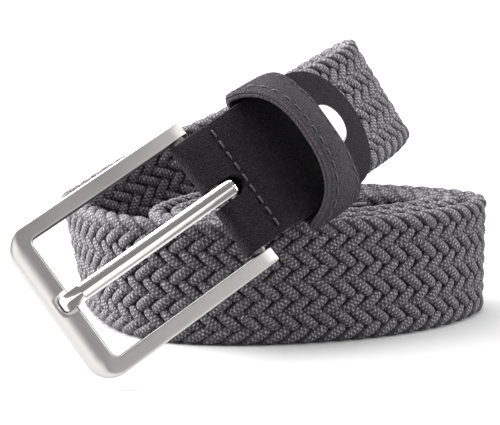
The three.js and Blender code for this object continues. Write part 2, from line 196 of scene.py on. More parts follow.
def grid_faces(rows, columns, wrap_rows):
    """Face (i, j) joins points (i, j), (i, j+1), (i+1, j+1) and (i+1, j); columns always wrap."""
    i = np.arange(rows if wrap_rows else rows - 1)[:, None]
    j = np.arange(columns)[None, :]
    after, beside = (i + 1) % rows, (j + 1) % columns
    corners = [i * columns + j, i * columns + beside, after * columns + beside, after * columns + j]
    return np.stack(np.broadcast_arrays(*corners), -1)


def enclosed(points, faces):
    """Six times the volume: the sum of a . (b x c) over the triangles of the faces."""
    a, b, c, d = (points[faces[:, k]] for k in range(4))
    return np.sum(a * np.cross(b, c)) + np.sum(a * np.cross(c, d))


def tube_piece(name, points, along, wrap_rows=False, marks=None):
    """points is (copies, rows, columns, 3) in millimetres. along has a value for each row, with one
    more where the rows wrap. It becomes u in the UV map, and v goes from 0 to 1 once round. marks
    holds named values for each point, such as how near it is to a cut edge."""
    copies, rows, columns, _ = points.shape
    around = np.linspace(0, 1, columns + 1)
    one = grid_faces(rows, columns, wrap_rows).reshape(-1, 4)
    flipped = enclosed(points[0].reshape(-1, 3), one) < 0
    one = one[:, ::-1] if flipped else one
    faces = (one[None] + (np.arange(copies) * rows * columns)[:, None, None]).reshape(-1, 4)
    caps = []
    if not wrap_rows:
        start = np.arange(copies)[:, None] * rows * columns + np.arange(columns)[None, :]
        end = start + (rows - 1) * columns
        caps = [ring[::-1] for ring in start.tolist()] + end.tolist()
        caps = [ring[::-1] for ring in caps] if flipped else caps
    mesh = bpy.data.meshes.new(name)
    mesh.from_pydata((points.reshape(-1, 3) * MM).tolist(), [], faces.tolist() + caps)
    i = np.arange(rows if wrap_rows else rows - 1)[:, None]
    j = np.arange(columns)[None, :]
    u = np.stack(np.broadcast_arrays(*(along[k] + 0 * j for k in (i, i, i + 1, i + 1))), -1)
    v = np.stack(np.broadcast_arrays(*(around[k] + 0 * i for k in (j, j + 1, j + 1, j))), -1)
    uv = np.tile(np.stack([u, v], -1).reshape(-1, 4, 2), (copies, 1, 1))
    uv = uv[:, ::-1] if flipped else uv
    caps_uv = np.zeros((sum(len(ring) for ring in caps), 2))
    layer = mesh.uv_layers.new(name="UVMap")
    all_uv = np.concatenate([uv.reshape(-1, 2), caps_uv]).astype(np.float32)
    layer.data.foreach_set("uv", all_uv.ravel())
    for key, values in (marks or {}).items():
        attribute = mesh.attributes.new(key, "FLOAT", "POINT")
        spread = np.broadcast_to(values, points.shape[:3]).astype(np.float32)
        attribute.data.foreach_set("value", spread.ravel())
    mesh.shade_smooth()
    mesh.set_sharp_from_angle(angle=SHARP_ABOVE)
    piece = bpy.data.objects.new(name, mesh)
    bpy.context.scene.collection.objects.link(piece)
    return piece


def dress(piece, material, body, slot, *nodes):
    """Gives a piece its material, the body it rides on and the nodes it stands for; slot is not used.
    """
    piece.data.materials.append(material)
    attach(piece, body)
    if nodes:
        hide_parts(*nodes)


# %% [markdown]
# ## Writing materials as expressions
# A shader is arithmetic drawn as boxes and wires. Writing it as Python expressions keeps it
# readable: a small class stands for one socket, and a sum or product of two sockets adds the
# Math node that does it. Everything else comes from one method that makes any node.


# %% Shader helpers
class Value:
    """One shader number or colour. Arithmetic on it adds Math nodes and gives a new Value."""

    def __init__(self, recipe, socket):
        self.recipe, self.socket = recipe, socket

    def maths(self, operation, *others):
        """The Math node that does one operation on this Value and the others."""
        inputs = dict(enumerate((self, *others)))
        return self.recipe.node("ShaderNodeMath", {"operation": operation}, inputs)

    def __add__(self, other):
        return self.maths("ADD", other)

    def __mul__(self, other):
        return self.maths("MULTIPLY", other)

    def __sub__(self, other):
        return self.maths("SUBTRACT", other)

    def __truediv__(self, other):
        return self.maths("DIVIDE", other)

    def __rsub__(self, other):
        return self * -1 + other

    def __abs__(self):
        return self.maths("ABSOLUTE")

    def wave(self):
        """A zigzag from 1 at each whole number down to 0 half way between: |fraction - 1/2| * 2."""
        return abs(self.maths("FRACT") - 0.5) * 2


class Recipe:
    """A material whose nodes are made one by one, ending in its Principled shader."""

    def __init__(self, name):
        self.material = bpy.data.materials.new(name)
        self.material.use_nodes = True
        self.tree = self.material.node_tree

    def node(self, kind, settings, inputs, output=0):
        """Makes a node, sets its settings, then its inputs by name or number, and returns one
        output."""
        made = self.tree.nodes.new(kind)
        for key, value in settings.items():
            setattr(made, key, value)
        for key, value in inputs.items():
            if isinstance(value, Value):
                self.tree.links.new(value.socket, made.inputs[key])
            else:
                made.inputs[key].default_value = value
        return Value(self, made.outputs[output])

    def uv(self):
        """The piece's own texture coordinates, as two Values."""
        both = self.node("ShaderNodeTexCoord", {}, {}, "UV")
        return tuple(self.node("ShaderNodeSeparateXYZ", {}, {0: both}, k) for k in (0, 1))

    def mark(self, name):
        """A named value that the mesh carries at each of its points."""
        return self.node("ShaderNodeAttribute", {"attribute_name": name}, {}, "Fac")

    def place(self, x, y):
        """A place in the plane, from two Values."""
        return self.node("ShaderNodeCombineXYZ", {}, {0: x, 1: y})

    def object_place(self):
        """The place on the piece in metres, the same for every piece."""
        return self.node("ShaderNodeTexCoord", {}, {}, "Object")

    def noise(self, place, scale, detail=3.0):
        """Clouds of about 0.2 to 0.8 round a middle of 0.5; a larger scale makes them smaller."""
        inputs = {"Vector": place, "Scale": scale, "Detail": detail}
        return self.node("ShaderNodeTexNoise", {}, inputs, "Fac")

    def between(self, value, low, high):
        """0 below low, 1 above high, and a smooth step between them."""
        settings = {"interpolation_type": "SMOOTHSTEP"}
        return self.node("ShaderNodeMapRange", settings, {0: value, 1: low, 2: high})

    def mix(self, factor, first, second):
        """The first colour where factor is 0 and the second where it is 1."""
        return self.node("ShaderNodeMix", {"data_type": "RGBA"}, {0: factor, 6: first, 7: second}, 2)

    def bump(self, height, strength, distance):
        """A normal that leans as if the height, times a distance in metres, were really there."""
        inputs = {"Height": height, "Strength": strength, "Distance": distance}
        return self.node("ShaderNodeBump", {}, inputs, "Normal")

    def shade(self, values):
        """Sets the Principled shader's sockets and returns the material."""
        shader = self.tree.nodes["Principled BSDF"]
        for key, value in values.items():
            if isinstance(value, Value):
                self.tree.links.new(value.socket, shader.inputs[key])
            else:
                shader.inputs[key].default_value = value
        return self.material


def grey(level, warmth=0.0):
    """A near-neutral colour: a little more red and less blue where warmth is positive."""
    return (level * (1 + warmth), level, level * (1 - warmth), 1.0)


# %% [markdown]
# ## The braid
# The band is a flat braid of seventeen cords. Each one runs slantwise from edge to edge, turns
# round the edge and comes back, so across the belt its place is a triangular wave. All cords have
# the same wave, each shifted along by a seventeenth of it. On its way a cord meets sixteen others,
# and it lies over two of them, then under two. That could be faked with a bump map, but the
# scalloped edge and the deep shadows between the cords would be missing, so each cord is a real
# tube that rises and dips.

# %% The cords' paths
CORDS = 17
PITCH = 5.3
CORD = {"half_width": 1.58, "half_height": 1.12, "reach": 16.3, "rise": 1.16, "flat": 0.22,
        "blunt": 0.975, "bend": 1.5, "tail": 1.6, "rows_per_crossing": 3.6, "sides": 12}


def cord_path(count):
    """With u the number of crossings passed, 34 to a full wave: the length is the wave's length
    times u/34 plus the cord's own shift; the place across is reach * asin(a sin(wave)) / asin(a);
    the height is rise * c / sqrt(c^2 + f), made flat-topped from c = cos(phase), where the phase
    gains half a turn for every two crossings and slows down where the cord goes round an edge.
    The roll turns the flat side of the cord from the band's front to its back on the way round."""
    wave = CORDS * PITCH
    first = (BAND["start"] - count * PITCH) * 2 * CORDS / wave
    last = (BELT_LENGTH - CORD["tail"] - count * PITCH) * 2 * CORDS / wave
    u = np.linspace(first, last, int((last - first) * CORD["rows_per_crossing"]))
    turn = np.mod(u, 2 * CORDS)
    slant = CORD["blunt"] * np.sin(2 * np.pi * u / (2 * CORDS) - np.pi / 2)
    across = CORD["reach"] * np.arcsin(slant) / np.arcsin(CORD["blunt"])
    bend = CORD["bend"]
    stops = np.array([0, bend, CORDS - bend, CORDS + bend, 2 * CORDS - bend, 2 * CORDS])
    phase = np.interp(turn, stops, np.pi * np.array([-0.5, 0, 7, 8, 15, 15.5]))
    c = np.cos(phase)
    height = CORD["rise"] * c / np.sqrt(c * c + CORD["flat"]) * math.sqrt(1 + CORD["flat"])
    roll = np.interp(turn, stops, np.pi * np.array([-0.5, 0, 0, -1, -1, -0.5]))
    return wave * u / (2 * CORDS) + count * PITCH, across, height, roll


def cord_tube(count):
    """An oval section carried along the cord: centre + a cos(q) * side + b sin(q) * normal."""
    length, across, height, roll = cord_path(count)
    centre = on_belt(length, across, height)
    _, _, sideways, outward = directions(length)
    tangent = unit(np.gradient(centre, axis=0))
    normal = outward * np.cos(roll)[:, None] + sideways * np.sin(roll)[:, None]
    normal = unit(normal - tangent * np.sum(normal * tangent, -1, keepdims=True))
    side = np.cross(tangent, normal)
    q = np.linspace(0, 2 * np.pi, CORD["sides"], endpoint=False)
    ring = CORD["half_width"] * np.cos(q)[None, :, None] * side[:, None]
    ring = ring + CORD["half_height"] * np.sin(q)[None, :, None] * normal[:, None]
    return centre[:, None] + ring, travelled_along(centre)


# %% [markdown]
# Close up, each cord has a finely plaited sheath of mixed light and dark yarn. Two sets of yarns
# wind round it in opposite directions. Each is a stripe in the cord's own texture coordinates, the
# length in millimetres and once round the section. Where both stripes are high a light yarn shows
# as a speck, and where both are low there is a hole, whose shade is painted in nearly black. A
# stretched noise mixes the yarns. The cord's two flanks, where it touches its neighbours, are
# painted nearly black too, as the shade that falls there.

# %% Heather cord
# The hole and flank colours are painted shade, nearly black: the dark in the sheath's holes and on the
# cords' flanks.
YARN_AND_SHADE = {"dark": (0.031, 0.029, 0.0335, 1), "light": (0.044, 0.0412, 0.0465, 1),
        "speck": (0.24, 0.226, 0.246, 1), "hole": (0.008, 0.007, 0.009, 1),
        "flank_shade": (0.006, 0.005, 0.007, 1)}
PLAIT = {"length": 1.05, "stripes": 4}


def heather_cord():
    """Two wound stripes and a noise that is stretched along the cord, added and cut into specks and
    holes, the holes painted dark as shade. The flanks, painted dark as shade, are at the start of the
    way round and half way round."""
    recipe = Recipe("heather_cord")
    along, round_it = recipe.uv()
    wound, slant = along / PLAIT["length"], round_it * PLAIT["stripes"]
    plait = (wound + slant).wave() + (wound - slant).wave()
    yarn = recipe.noise(recipe.place(along * 1.6, round_it * 9.0), 1.6)
    patch = recipe.noise(recipe.place(along * 0.12, round_it), 1.0)
    mixed = plait * 0.35 + yarn * 1.3
    flank_shade = (round_it * 2).wave()
    colour = recipe.mix(recipe.between(patch, 0.35, 0.7), YARN_AND_SHADE["dark"], YARN_AND_SHADE["light"])
    colour = recipe.mix(recipe.between(mixed, 1.05, 1.3), colour, YARN_AND_SHADE["speck"])
    # Painted shade: first the sheath's holes, then the cord's flanks, are mixed towards nearly black.
    colour = recipe.mix(recipe.between(mixed, 0.95, 0.7) * 0.85, colour, YARN_AND_SHADE["hole"])
    colour = recipe.mix(recipe.between(flank_shade, 0.4, 0.82) * 0.96, colour, YARN_AND_SHADE["flank_shade"])
    return recipe.shade({
        "Base Color": colour,
        "Roughness": 0.7,
        "Sheen Weight": 0.1,
        "Sheen Roughness": 0.4,
        "Normal": recipe.bump(mixed, 0.9, 0.0003),
    })


HEATHER_CORD = heather_cord()

# %% The seventeen cords
for count in range(CORDS):
    tube, travelled = cord_tube(count)
    piece = tube_piece(f"cord_{count + 1:02d}", tube[None], travelled)
    dress(piece, HEATHER_CORD, "belt", "braid", "woven_strap")
print(CORDS, "cords of", round(travelled[-1]), "mm,", len(piece.data.polygons), "faces each")

# %% [markdown]
# A thin black sheet lies between the braid's two layers of cords. It is painted shade: it shows
# only as darkness in the holes where four cords meet, and it keeps light from falling through.

# %% A black sheet in the braid, painted shade
SHADE_SHEET_SIZE = {"half_width": 14.4, "half_height": 0.25, "rows": 500}
sheet_length = np.linspace(BAND["start"] + 1, BELT_LENGTH - 3, SHADE_SHEET_SIZE["rows"])
sheet_across = SHADE_SHEET_SIZE["half_width"] * np.array([-1, 1, 1, -1])
sheet_height = SHADE_SHEET_SIZE["half_height"] * np.array([-1, -1, 1, 1])
sheet_points = on_belt(sheet_length[:, None], sheet_across, sheet_height)
# Painted shade: the near-black sheet stands for the shade deep in the braid's holes.
core = tube_piece("shade_sheet", sheet_points[None], sheet_length)
SHADE_BLACK = Recipe("shade_black").shade({"Base Color": grey(0.01), "Roughness": 0.85})
dress(core, SHADE_BLACK, "belt", "braid", "woven_strap")

# %% [markdown]
# ## Leather
# The belt's end, its keeper and its tip are strips of one dark leather. It has two copies whose
# colours differ as painted light and shade: the keeper's is lighter, the end's and the tip's darker.
# A strip is a section with rounded corners, carried along a path that is given in the belt's own
# measures, so it bends with the belt. Its cut edges wear and catch the light, so each point of the
# section carries a mark that says how near an edge it is. The grain is a fine pebble.

# %% Dark grained leather
LEATHER_FACTS = {"thickness": 1.8, "width": 36.0, "width_at_bar": 34.2, "tab": 52.8, "back": 46.0}


def leather(name, face, edge, grain):
    """Pebbles are cells of a Voronoi pattern, with creases where two cells meet, which are painted
    darker as shade. A finer noise lies on them, and slow clouds change both the colour and the shine."""
    recipe = Recipe(name)
    place = recipe.object_place()
    cells = {"Vector": place, "Scale": 1 / grain}
    crease = recipe.node("ShaderNodeTexVoronoi", {"feature": "DISTANCE_TO_EDGE"}, cells, "Distance")
    pebble = recipe.between(crease, 0.0, 0.3)
    cloud = recipe.noise(place, 60.0)
    fine = recipe.noise(place, 1900.0)
    rim = recipe.between(recipe.mark("edge"), 0.35, 0.95)
    colour = recipe.mix(recipe.between(cloud, 0.3, 0.75) * 0.6, face, edge)
    # Painted shade: the creases between the pebbles are mixed towards a darker grey.
    colour = recipe.mix((1 - pebble) * 0.55, colour, grey(face[1] * 0.35))
    colour = recipe.mix(recipe.between(fine, 0.5, 0.64) * 0.7, colour, edge)
    colour = recipe.mix(rim, colour, edge)
    return recipe.shade({
        "Base Color": colour,
        "Roughness": 0.66 - pebble * 0.14 + rim * 0.06 + fine * 0.1,
        "Specular IOR Level": 0.12,
        "Normal": recipe.bump(pebble + fine * 1.2, 0.9, 0.0003),
    })


# One leather in two copies: the end's colour is painted darker as shade, and the keeper's is nearly
# four times lighter as painted light from above.
END_LEATHER_SHADED = leather(
    "end_leather_shaded", (0.0056, 0.0043, 0.0062, 1), (0.019, 0.0155, 0.02, 1), 0.0007)
KEEPER_LEATHER_LIT = leather(
    "keeper_leather_lit", (0.021, 0.0183, 0.0205, 1), (0.056, 0.0495, 0.055, 1), 0.0008)


# %% A strip's section
EDGE_REACH = 0.55


def strip_section(low, high, half, corner, columns, square=False):
    """A rounded rectangle from low to high across and minus half to half in height, given as
    arrays with a row for each station. It starts at the lower right corner and goes up the side
    wall, back over the top, down and back underneath. Where square is set, the low side keeps
    sharp corners. The edge mark is 1 on a side wall and falls to 0 within EDGE_REACH of it."""
    low, high, half = (np.asarray(v, float)[:, None] for v in (low, high, half))
    corner = np.minimum(corner, np.minimum((high - low) / 2.001, half * 0.98))
    bend = np.linspace(0, np.pi / 2, 5)[None, :]
    face = np.linspace(0, 1, columns)[None, 1:-1]
    tight = corner * 0 if square else corner
    right, left = high - corner, low + tight
    wall = np.linspace(-1, 1, 7)[None, 1:-1]
    lower = [right + corner * np.sin(bend), -half + corner - corner * np.cos(bend)]
    right_wall = [high + 0 * wall, (half - corner) * wall]
    upper = [right + corner * np.cos(bend), half - corner + corner * np.sin(bend)]
    top = [right + (left - right) * face, half + 0 * face]
    far = bend[:, :1] if square else bend
    upper_left = [left - tight * np.sin(far), half - tight + tight * np.cos(far)]
    left_wall = [low + 0 * wall, (tight - half) * wall]
    lower_left = [left - tight * np.cos(far), -half + tight - tight * np.sin(far)]
    under = [left + (right - left) * face, -half + 0 * face]
    parts = [lower, right_wall, upper, top, upper_left, left_wall, lower_left, under]
    across = np.concatenate([p[0] + 0 * half for p in parts], 1)
    out = np.concatenate([p[1] + 0 * half for p in parts], 1)
    near = high - across if square else np.minimum(high - across, across - low)
    return across, out, np.clip(1 - near / EDGE_REACH, 0, 1)


def strip_rings(length, height, turn, across, out):
    """A point of the section goes out along the strip's own normal, which turns from the belt's
    outward direction by the strip's turn: length - out cos(turn), height + out sin(turn)."""
    angle = np.radians(turn)[:, None]
    station = length[:, None] - out * np.cos(angle)
    return on_belt(station, across, height[:, None] + out * np.sin(angle))


# %% [markdown]
# ## The leather end
# One strip makes a leaf over the braid's outer face, goes round the buckle's bar and comes back
# behind. Its tab ends in a half circle. The prong's slot goes through the fold, so the strip is
# made as two halves, right and left of the belt's middle, that part where the slot is. It is
# pressed thinner under the row of stitches and a little thicker between them and the bar.

# %% Leaf, fold and leaf
BAR = {"radius": 1.6, "play": 0.35, "half_length": 19.0}
LEAF = BAND["thickness"] / 2 + GAP + LEATHER_FACTS["thickness"] / 2
FOLD = BAR["radius"] + BAR["play"] + LEATHER_FACTS["thickness"] / 2
SLOT = {"half": 2.8, "reach": 6.1}
SEAM = {"station": 6.8, "half_width": 0.8, "pressed": 0.3}
PADDING = {"up": (2.0, 4.5), "down": (-6.6, -5.0), "share": 0.1}


def smooth(value, low, high):
    """Smooth step: t^2 (3 - 2t) with t clipped to 0 and 1."""
    t = np.clip((value - low) / (high - low), 0, 1)
    return t * t * (3 - 2 * t)


def leaf_height(length):
    """From the fold's radius at the bar, eased up to the leaf's own height over the braid."""
    return FOLD + (LEAF - FOLD) * smooth(length, 0, BAND["start"] - 1)


def leaf_stations(tab):
    """From the tab's tip to the bar: the half circle by its angle, then even steps."""
    radius = LEATHER_FACTS["width"] / 2
    angle = np.radians(np.linspace(3, 90, 30))
    round_end = tab - radius + radius * np.cos(angle)
    straight = np.linspace(tab - radius, 0, 45)[1:]
    widening = LEATHER_FACTS["width_at_bar"] + smooth(straight, 4, 28) * (
        LEATHER_FACTS["width"] - LEATHER_FACTS["width_at_bar"])
    return np.concatenate([round_end, straight]), np.concatenate([radius * np.sin(angle), widening / 2])


def end_path():
    """Front leaf, fold and back leaf as arrays of length, height, turn and half width."""
    front, front_half = leaf_stations(LEATHER_FACTS["tab"])
    back, back_half = (v[::-1] for v in leaf_stations(LEATHER_FACTS["back"]))
    turn = np.linspace(85, -85, 23)
    fold = -FOLD * np.cos(np.radians(turn))
    fold_height = FOLD * np.sin(np.radians(turn))
    return (
        np.concatenate([front, fold, back]),
        np.concatenate([leaf_height(front), fold_height, -leaf_height(back)]),
        np.concatenate([90 + 0 * front, turn, -90 + 0 * back]),
        np.concatenate([front_half, np.full(len(turn), LEATHER_FACTS["width_at_bar"] / 2), back_half]),
    )


length, height, turn, half = end_path()
past = np.clip((length - (SLOT["reach"] - SLOT["half"])) / SLOT["half"], 0, 1)
slot = SLOT["half"] * np.sqrt(1 - past**2)
seam = np.exp(-(((length - SEAM["station"]) / SEAM["half_width"]) ** 2))
padding = smooth(length, *PADDING["up"]) * smooth(-length, *PADDING["down"])
thickness = LEATHER_FACTS["thickness"] / 2 * (1 - SEAM["pressed"] * seam + PADDING["share"] * padding)
across, out, edge = strip_section(slot, half, thickness, 0.5, 8, square=True)
points = np.stack([strip_rings(length, height, turn, mirror * across, out) for mirror in (1, -1)])
travelled = travelled_along(np.stack([length, height], 1))
strip = tube_piece("leather_strip", points, travelled, marks={"edge": edge})
dress(strip, END_LEATHER_SHADED, "belt", "leather", "leather_end")
print("leather strip", round(travelled[-1]), "mm long, leaf height", round(LEAF, 2), "mm")

# %% [markdown]
# ## The keeper
# The keeper is a leather hoop, wider than the belt is thick, so that its arch stands clear and the
# belt's other end can be tucked under it. It leans towards the tab. Its outline is a superellipse
# in front and a flat back with small corners, as in the part's source. Two rows of stitches run in
# shallow grooves near its edges, and a fine seam along each cut edge shows its two layers.

# %% Keeper outline
KEEPER = {"width": 14.4, "thickness": 2.4, "span": 20.2, "height": 17.3, "back_span": 19.6,
          "back_corner": 1.6, "lean": math.radians(30), "square_near": 2.5, "square_far": 3.2,
          "groove": 2.3, "groove_depth": 0.32, "groove_half": 0.7, "crown": 0.18,
          "seam_depth": 0.22, "seam_half": 0.16}
FOOT = {"station": 14.8, "height": 4.0, "run": 0.475, "skew": 0.025, "round": 2.0, "power": 1.1}
ARCH = 91


def keeper_outline(forward):
    """Across = span * cos(a)^(2/n) and height = rise * sin(a)^(2/n) over the front, keeping the
    signs, then a quarter circle, the straight back and the other quarter circle. The exponent n
    grows with the distance forward, so the far edge is squarer."""
    a = np.radians(np.linspace(0, 180, ARCH))
    share = np.clip(forward / KEEPER["width"], 0, 1)
    power = 2 / (KEEPER["square_near"] + (KEEPER["square_far"] - KEEPER["square_near"]) * share)
    arch = np.stack([
        KEEPER["span"] * np.sign(np.cos(a)) * np.abs(np.cos(a)) ** power,
        KEEPER["height"] * np.abs(np.sin(a)) ** power,
    ], 1)
    behind = LEAF + LEATHER_FACTS["thickness"] / 2 + GAP + KEEPER["thickness"] / 2
    back, r = -behind / math.cos(KEEPER["lean"]), KEEPER["back_corner"]
    b = np.radians(np.linspace(0, 90, 7))
    corner = np.stack([-(KEEPER["back_span"] - r + r * np.cos(b)), back + r - r * np.sin(b)], 1)
    inside = np.linspace(-KEEPER["back_span"] + r, KEEPER["back_span"] - r, 16)[1:-1]
    rear = np.stack([inside, np.full(len(inside), back)], 1)
    return np.concatenate([arch, corner, rear, corner[::-1] * [-1, 1]])


def keeper_surface(forward, out):
    """The whole outline at one distance forward, moved out along its own normals. Its leading edge
    lies at station + run * sqrt(h^2 + round^2) + skew * h, with h the rise above the foot. Going
    forward, the arch slopes down by sin(lean) at its top, and by less further down."""
    outline = keeper_outline(forward)
    run = unit(np.roll(outline, -1, 0) - np.roll(outline, 1, 0))
    across = outline[:, 0] + run[:, 1] * out
    rise = outline[:, 1] - run[:, 0] * out
    slope = math.sin(KEEPER["lean"]) * np.clip(rise / KEEPER["height"], 0, 1) ** FOOT["power"]
    above = rise - FOOT["height"]
    lead = FOOT["station"] + FOOT["run"] * np.hypot(above, FOOT["round"]) + FOOT["skew"] * above
    length = lead + forward * np.sqrt(1 - slope**2)
    return on_belt(length, across, rise * math.cos(KEEPER["lean"]) - forward * slope)


# %% Keeper surface
zero, half_width = np.zeros(1), KEEPER["width"] / 2
offset, rise, edge = (v[0] for v in strip_section(
    zero, zero + KEEPER["width"], zero + KEEPER["thickness"] / 2, 0.75, 30))
from_groove = np.abs(offset - half_width) - half_width + KEEPER["groove"]
groove = np.exp(-((from_groove / KEEPER["groove_half"]) ** 2))
crown = KEEPER["crown"] * (1 - ((offset - half_width) / half_width) ** 2)
layers = np.exp(-((rise / KEEPER["seam_half"]) ** 2)) * (edge > 0.99)
offset = offset + KEEPER["seam_depth"] * layers * np.sign(half_width - offset)
rise = np.where(rise > 0, rise - KEEPER["groove_depth"] * groove + crown, rise)
points = np.stack([keeper_surface(f, r) for f, r in zip(offset, rise)], 1)
middle = keeper_outline(half_width)
round_hoop = travelled_along(np.vstack([middle, middle[:1]]))
hoop = tube_piece("keeper_hoop", points[None], round_hoop, wrap_rows=True, marks={"edge": edge})
dress(hoop, KEEPER_LEATHER_LIT, "belt", "leather", "keeper_loop")
print("keeper,", round(round_hoop[-1]), "mm round")

# %% [markdown]
# ## Stitches
# A stitch is a short thick thread that comes out of one hole and goes into the next. Each is a
# small bowed capsule, made once as a grid and set down along a row by arrays of places and
# directions. They are all the same size, 3.5 mm apart, as a machine sews them.

# %% Thread
STITCH = {"pitch": 3.5, "length": 2.7, "radius": 0.31, "in_a_row": 9}
thread_recipe = Recipe("dark_thread")
thread_along, thread_round = thread_recipe.uv()
ply = (thread_along / 0.8 + thread_round * 2).wave()
THREAD = thread_recipe.shade({
    "Base Color": thread_recipe.mix(ply, grey(0.012), grey(0.045, -0.02)),
    "Roughness": 0.55,
    "Normal": thread_recipe.bump(ply, 0.6, 0.0001),
})


def stitches(name, start, end, up):
    """Each stitch runs from start to end, bows up by its radius in the middle and dips at its
    ends, and its round section shrinks to a point there: radius * sqrt(1 - (2t - 1)^6)."""
    t = np.linspace(0, 1, 9)
    bow = STITCH["radius"] * (0.9 - 1.5 * (2 * t - 1) ** 4)
    radius = STITCH["radius"] * np.sqrt(1.0001 - (2 * t - 1) ** 6)
    run, up = unit(end - start), unit(up)
    side = np.cross(run, up)
    q = np.linspace(0, 2 * np.pi, 8, endpoint=False)
    spine = start[:, None] + (end - start)[:, None] * t[:, None] + up[:, None] * bow[:, None]
    ring = np.cos(q)[:, None] * side[:, None, None] + np.sin(q)[:, None] * up[:, None, None]
    points = spine[:, :, None] + ring * radius[:, None, None]
    piece = tube_piece(name, points, t * STITCH["length"])
    dress(piece, THREAD, "belt", "leather")
    return len(points)


# %% Rows on the leather end and on the keeper
def row_across(length, side):
    """Stitches across a leaf at one length: centres a pitch apart, kept inside the width."""
    count = STITCH["in_a_row"]
    centre = (np.arange(count) - (count - 1) / 2) * STITCH["pitch"]
    ends = [centre - STITCH["length"] / 2, centre + STITCH["length"] / 2]
    height = side * (leaf_height(length) + LEATHER_FACTS["thickness"] / 2 - 0.1)
    start, end = (on_belt(length, e, height) for e in ends)
    return start, end, side * directions(np.full(count, length))[3]


def row_on_keeper(forward):
    """Stitches along the arch: its line at the groove is cut into pitches by its own length, and
    both ends of a stitch are looked up on it. Up is the way to a like line 1 mm further out."""
    level = KEEPER["thickness"] / 2 - 0.25
    line, outer = (keeper_surface(forward, level + lift)[:ARCH] for lift in (0, 1))
    travelled = travelled_along(line)
    centre = np.arange(2.5, travelled[-1] - 1.5, STITCH["pitch"])

    def at(place, points):
        return np.stack([np.interp(place, travelled, axis) for axis in points.T], 1)

    start, end = (at(centre + s * STITCH["length"] / 2, line) for s in (-1, 1))
    return start, end, at(centre, outer) - at(centre, line)


made = stitches("stitches_front", *row_across(SEAM["station"], 1))
made += stitches("stitches_back", *row_across(SEAM["station"], -1))
made += stitches("stitches_keeper_near", *row_on_keeper(KEEPER["groove"]))
made += stitches("stitches_keeper_far", *row_on_keeper(KEEPER["width"] - KEEPER["groove"]))
print(made, "stitches")

# %% [markdown]
# ## The tip
# The free end lies out of sight inside the roll. It is finished plainly: the same leather, folded
# over the cut braid.

# %% Tip
TIP = {"length": 26.0, "wall": 1.2, "width": 34.7}
half_wall = TIP["wall"] / 2
over = BAND["thickness"] / 2 + GAP + half_wall
bend = np.linspace(85, -85, 15)
mouth = np.linspace(BELT_LENGTH - TIP["length"], BELT_LENGTH - over, 14)
round_end = BELT_LENGTH - over + (over - half_wall) * np.cos(np.radians(bend))
flat = np.ones(len(mouth))
length = np.concatenate([mouth, round_end, mouth[::-1]])
height = np.concatenate([flat * over, over * np.sin(np.radians(bend)), -flat * over])
turn = np.concatenate([flat * 90, bend, -flat * 90])
wide = np.full(len(length), TIP["width"] / 2)
across, out, edge = strip_section(-wide, wide, half_wall + 0 * wide, 0.35, 8)
angle = np.radians(turn)[:, None]
points = on_belt(length[:, None] + out * np.cos(angle), across, height[:, None] + out * np.sin(angle))
tip = tube_piece("leather_tip", points[None], np.arange(len(length)), marks={"edge": edge})
dress(tip, END_LEATHER_SHADED, "belt", "leather", "tip_fold")

# %% [markdown]
# ## Metal
# The frame is satin nickel: a bright metal whose fine scratches spread each highlight. The prong
# and the cap are polished, so they mirror what stands round them. The bar and the prong's eye lie
# between the leather and the arms and mirror those, so their nickel is painted darker, as shade.
# Metal looks like metal only where it has something to reflect, so the lights below are large
# and have gaps.

# %% Nickel
def nickel(name, colour, rough, uneven, scratch):
    """Bright metal with a roughness that wanders a little and, where asked, fine scratches. Points
    that carry the mark inner are darker, since what they mirror lies in the buckle's own shadow."""
    recipe = Recipe(name)
    place = recipe.object_place()
    cloud = recipe.noise(place, 90.0)
    grain = recipe.noise(place, 4200.0, 2.0)
    return recipe.shade({
        "Base Color": recipe.mix(recipe.mark("inner"), colour, grey(0.03)),
        "Metallic": 1.0,
        "Roughness": cloud * uneven + rough,
        "Normal": recipe.bump(grain, scratch, 0.00002),
    })


SATIN = nickel("satin_nickel", (0.53, 0.51, 0.5, 1), 0.25, 0.1, 0.25)
POLISHED = nickel("polished_nickel", (0.82, 0.81, 0.8, 1), 0.09, 0.06, 0.02)
# Painted shade: a darker copy of the nickel, for the bar and the prong's eye.
SHADED = nickel("shaded_nickel", (0.16, 0.155, 0.15, 1), 0.4, 0.1, 0.2)

# %% [markdown]
# ## The buckle's frame
# The casting is soft-edged: its front bar and its corners are rounded over to the outside and only
# lightly broken inside. It is one ribbon of sections that starts at one arm's end, goes round the
# front bar and ends at the other arm. Each section reaches from the outer outline to the inner
# one, and both outlines are straight lines joined by quarter circles. It is worked out in the
# buckle's own axes: x from the front bar towards the round bar, where it is 0, y across and z out
# of the front.

# %% Outlines and section
FRAME = {"end": 2.6, "length": 56.8, "half": 22.4, "arm": 4.4, "front_bar": 6.6,
         "half_depth": 1.6, "outer_radius": 6.5, "inner_radius": 1.6, "end_break": 0.9}
OUTER_EDGE = {"wide": 0.6, "wider": 4.8, "high": 0.5, "higher": 1.5}
SMALL_EDGE = 0.55
# The section's columns from the inner top edge down to the inner bottom edge
INNER_WALL = slice(20, 29)
SEAT = {"depth": 0.9, "radius": 6.0, "setback": 2.7, "half": 3.3}


